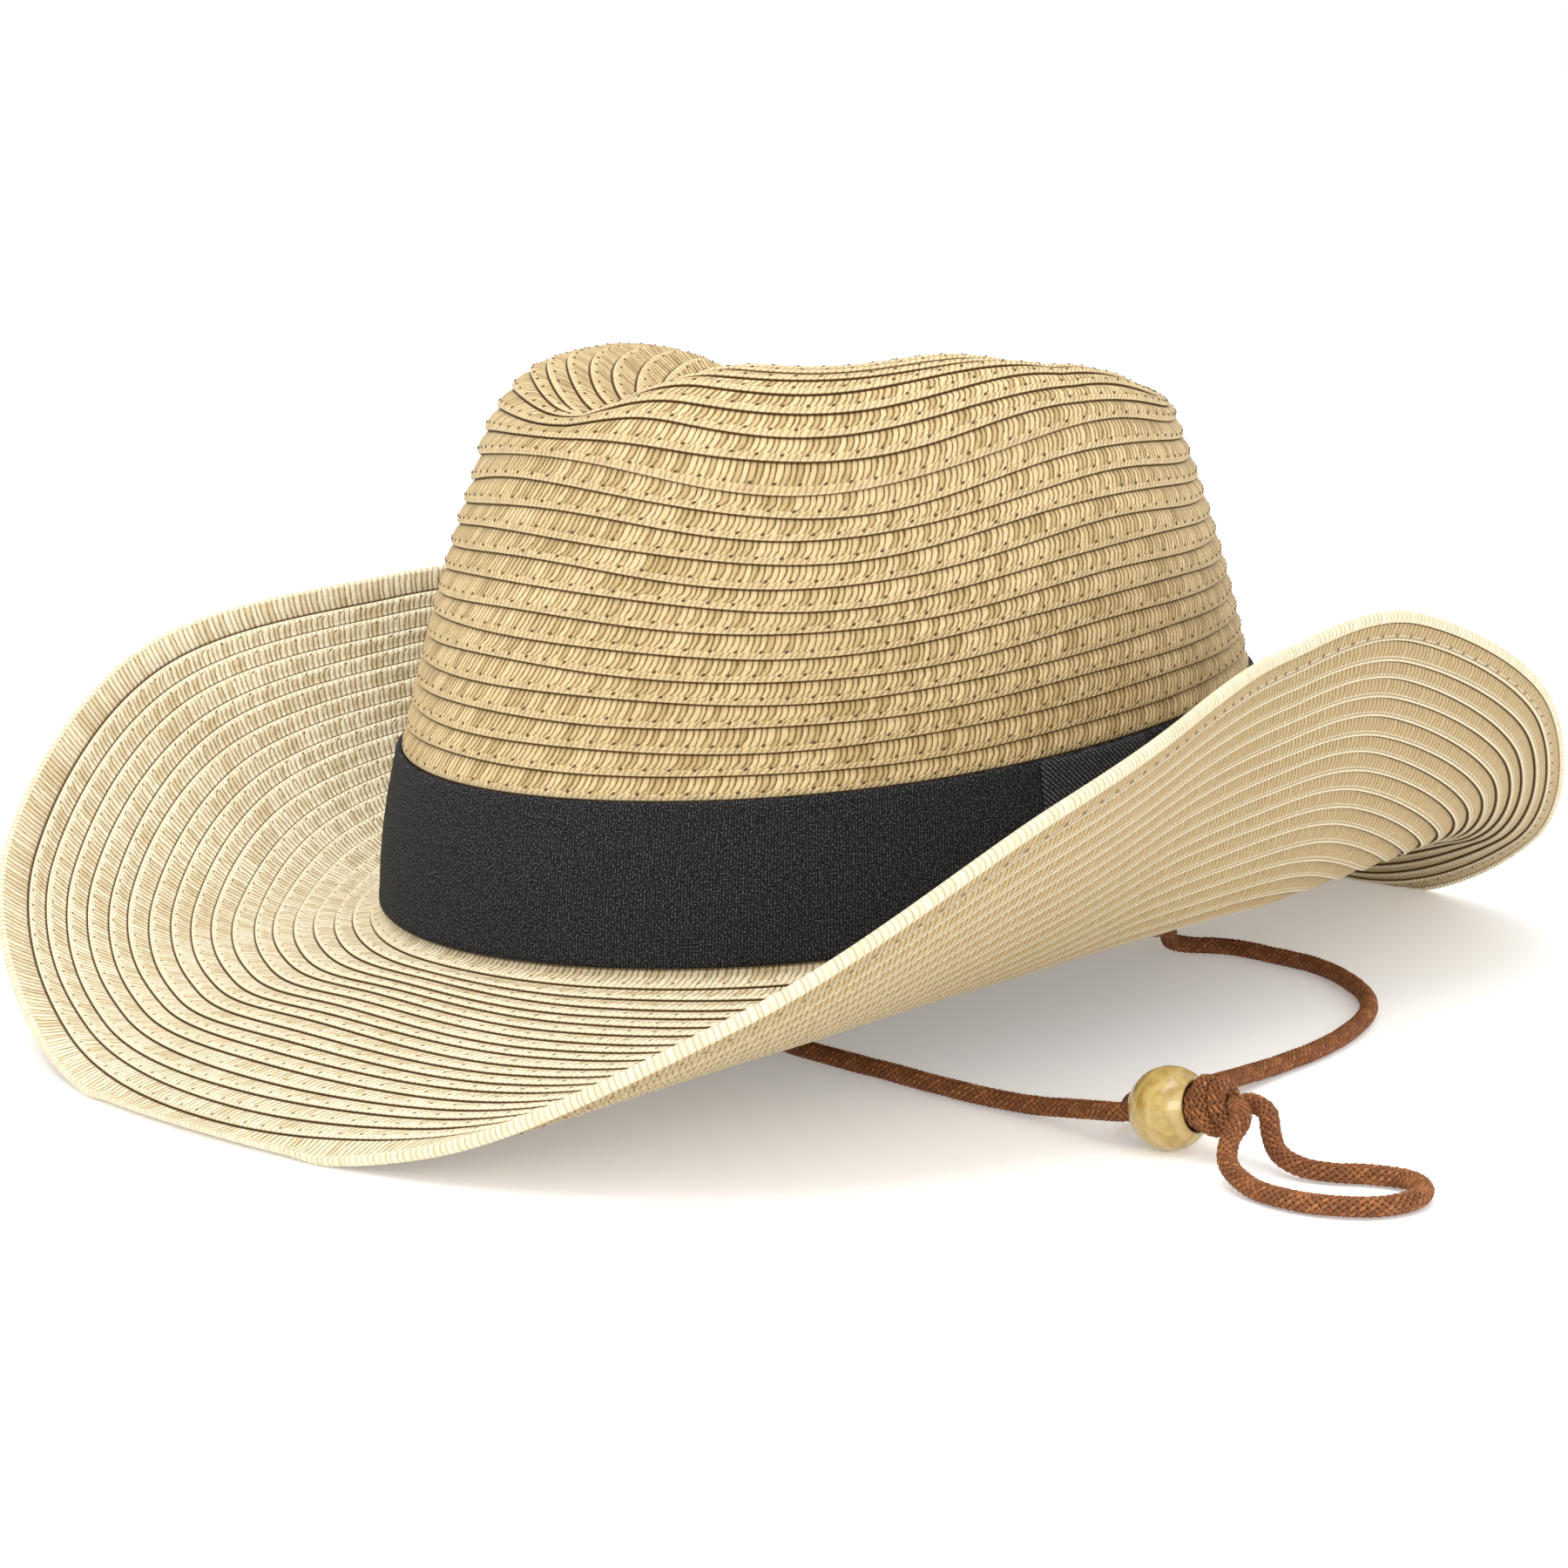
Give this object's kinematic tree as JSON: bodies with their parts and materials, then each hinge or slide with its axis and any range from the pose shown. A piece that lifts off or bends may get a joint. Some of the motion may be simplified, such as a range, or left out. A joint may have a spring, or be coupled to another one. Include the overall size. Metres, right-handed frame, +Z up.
{
  "type": "straw cowboy hat",
  "caption": "Braided straw western hat with a creased crown, side-curled brim, dark ribbon band and a chin cord with a sliding bead.",
  "frame": {"origin": "on the surface that the hat stands on, under the middle of the brim's length and width", "axes": "+Z up, the face looks along -Y, the wearer's left is +X"},
  "size_m": [0.3419, 0.3636, 0.1432],
  "materials": {
    "straw_crown": "matt braided straw, golden tan",
    "straw_brim": "matt braided straw, pale tan",
    "ribbon": "matt ribbed ribbon",
    "braided_cord": "matt round braid",
    "bead": "polished, glossy"
  },
  "bodies": {
    "root": {"crown": "straw_crown", "brim": "straw_brim", "hat_band": "ribbon", "band_lap": "ribbon", "chin_cord_right": "braided_cord", "chin_cord_left": "braided_cord", "chin_cord_loop": "braided_cord", "bead": "bead", "cord_knot": "braided_cord"}
  },
  "joints": []
}
